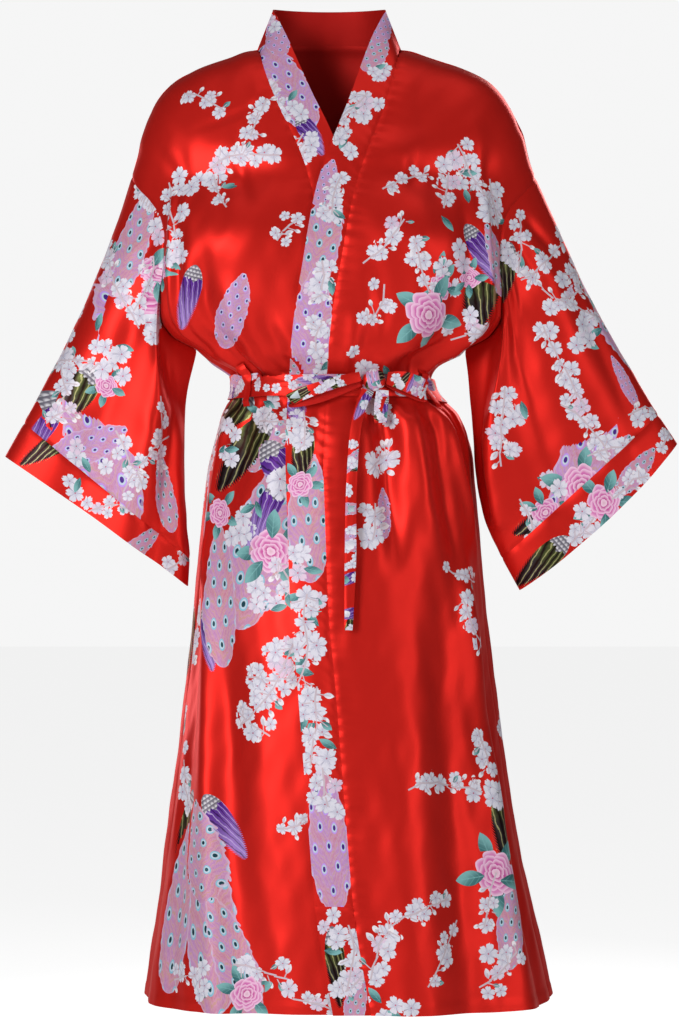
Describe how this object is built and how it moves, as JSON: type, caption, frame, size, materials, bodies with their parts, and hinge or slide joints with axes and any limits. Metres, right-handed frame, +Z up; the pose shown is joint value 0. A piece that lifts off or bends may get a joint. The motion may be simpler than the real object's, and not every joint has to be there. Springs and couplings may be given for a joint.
{
  "type": "kimono robe",
  "caption": "Knee-length kimono robe in red flowered satin, worn and tied left over right, with wide sleeves, a long front band and a narrow belt in a bow.",
  "frame": {"origin": "middle of the neck's base, level with the neckline's shoulder points, where the shoulders hold the robe up", "axes": "+Z up along the body, -Y to the front where the robe wraps, +X to the wearer's left"},
  "size_m": [0.79, 0.3169, 1.1733],
  "materials": {
    "satin_body": "satin",
    "satin_band": "satin",
    "satin_belt": "satin",
    "satin_loops": "satin"
  },
  "bodies": {
    "root": {"front_left": "satin_body", "front_right": "satin_body", "back": "satin_body", "neck_band": "satin_band", "band_left": "satin_band", "band_left_foot": "satin_band", "band_right": "satin_band", "sleeve_left": "satin_body", "sleeve_right": "satin_body", "cuff_band_left": "satin_band", "cuff_band_right": "satin_band", "belt_wrap": "satin_belt", "bow_loop_left": "satin_belt", "bow_loop_right": "satin_belt", "belt_tail_long": "satin_belt", "belt_tail_short": "satin_belt", "belt_knot": "satin_belt", "belt_loop_left": "satin_loops", "belt_loop_right": "satin_loops"}
  },
  "joints": []
}
